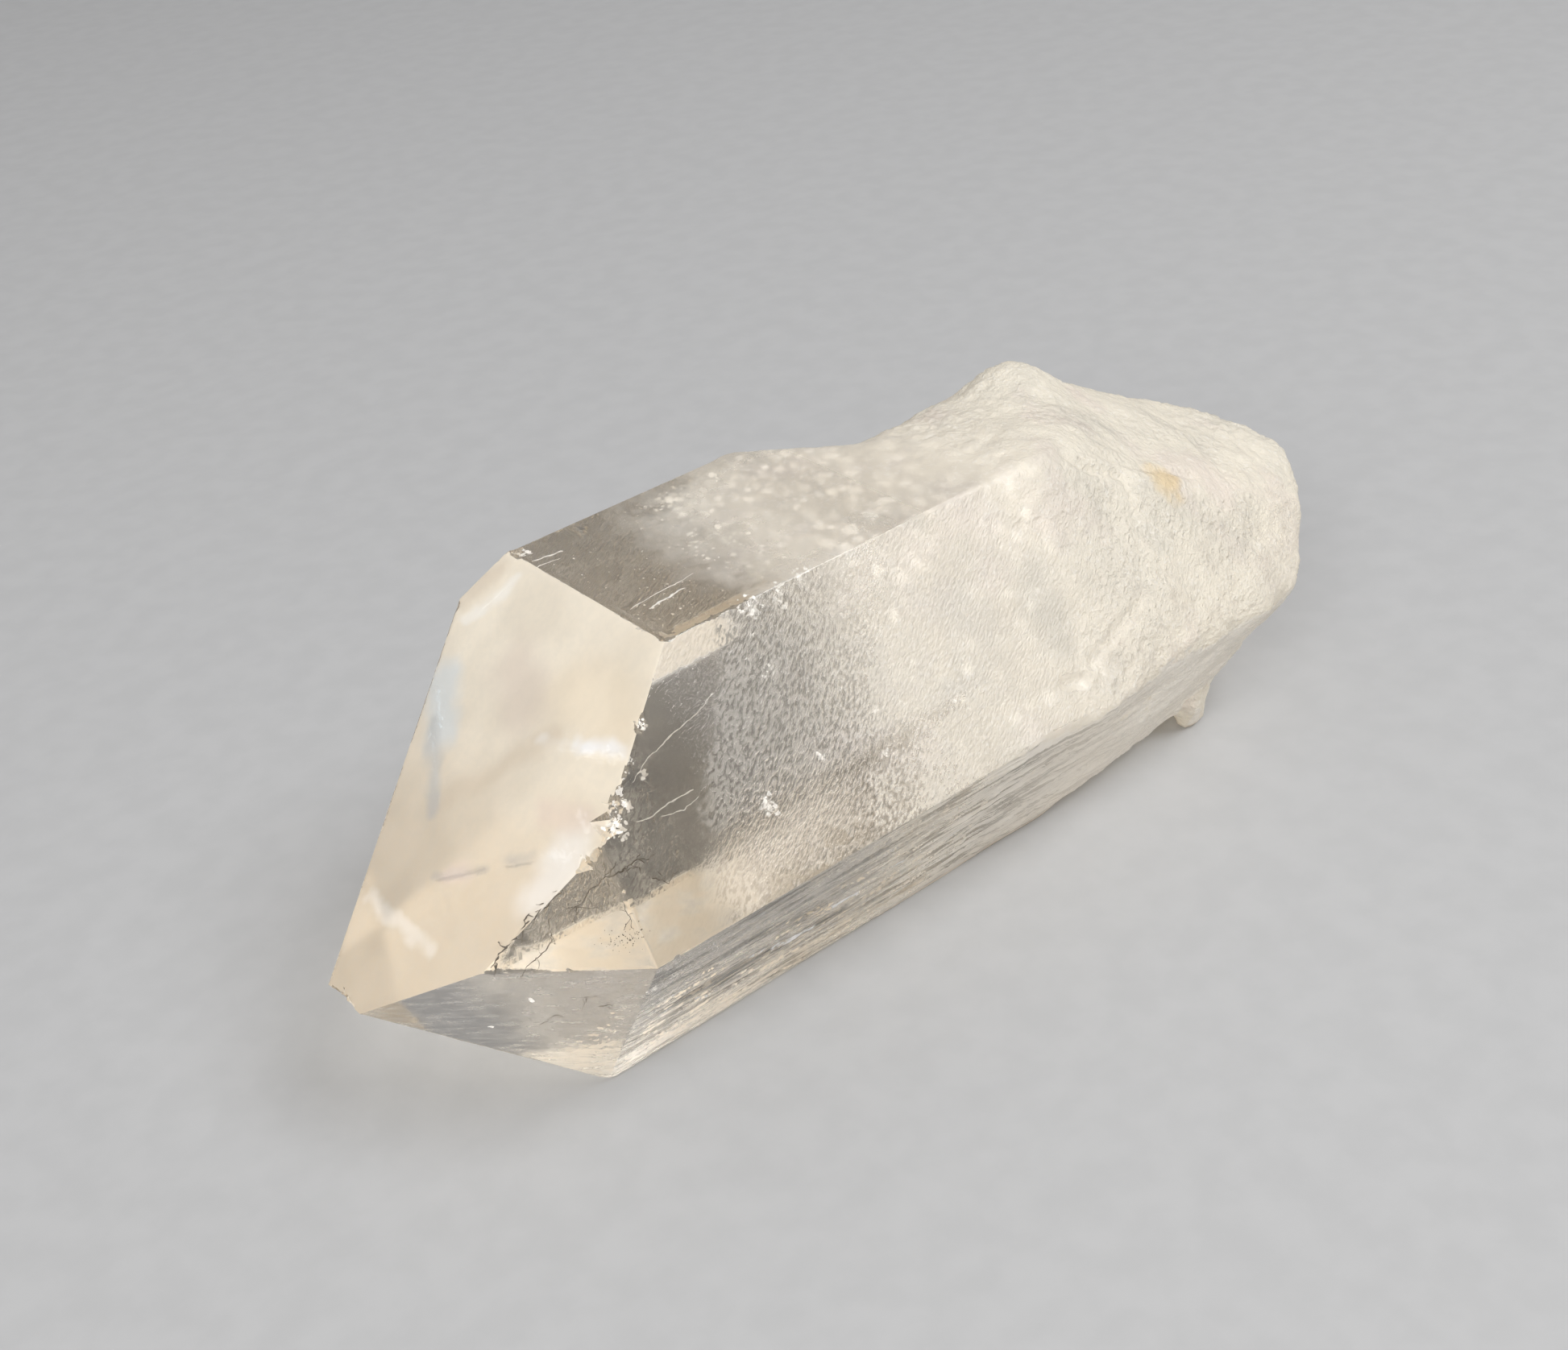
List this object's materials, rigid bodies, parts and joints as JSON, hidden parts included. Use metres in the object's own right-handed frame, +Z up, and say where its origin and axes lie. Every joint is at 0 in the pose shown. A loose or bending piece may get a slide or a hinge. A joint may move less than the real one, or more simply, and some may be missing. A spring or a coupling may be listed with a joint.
{
  "type": "quartz crystal point",
  "caption": "Single six-sided quartz point lying on a prism face: clear sloped tip, cloudy body and a broken, rounded root.",
  "frame": {"origin": "centre of the footprint of the bounding box, on the surface the crystal lies on", "axes": "+X along the prism towards the tip, +Y across towards the side with prism faces 2 and 3, +Z up"},
  "size_m": [0.0796, 0.0326, 0.0282],
  "materials": {
    "quartz": "glossy clear tip faces turning to a rough, milky white root"
  },
  "bodies": {
    "root": {"quartz_crystal": "quartz"}
  },
  "joints": []
}
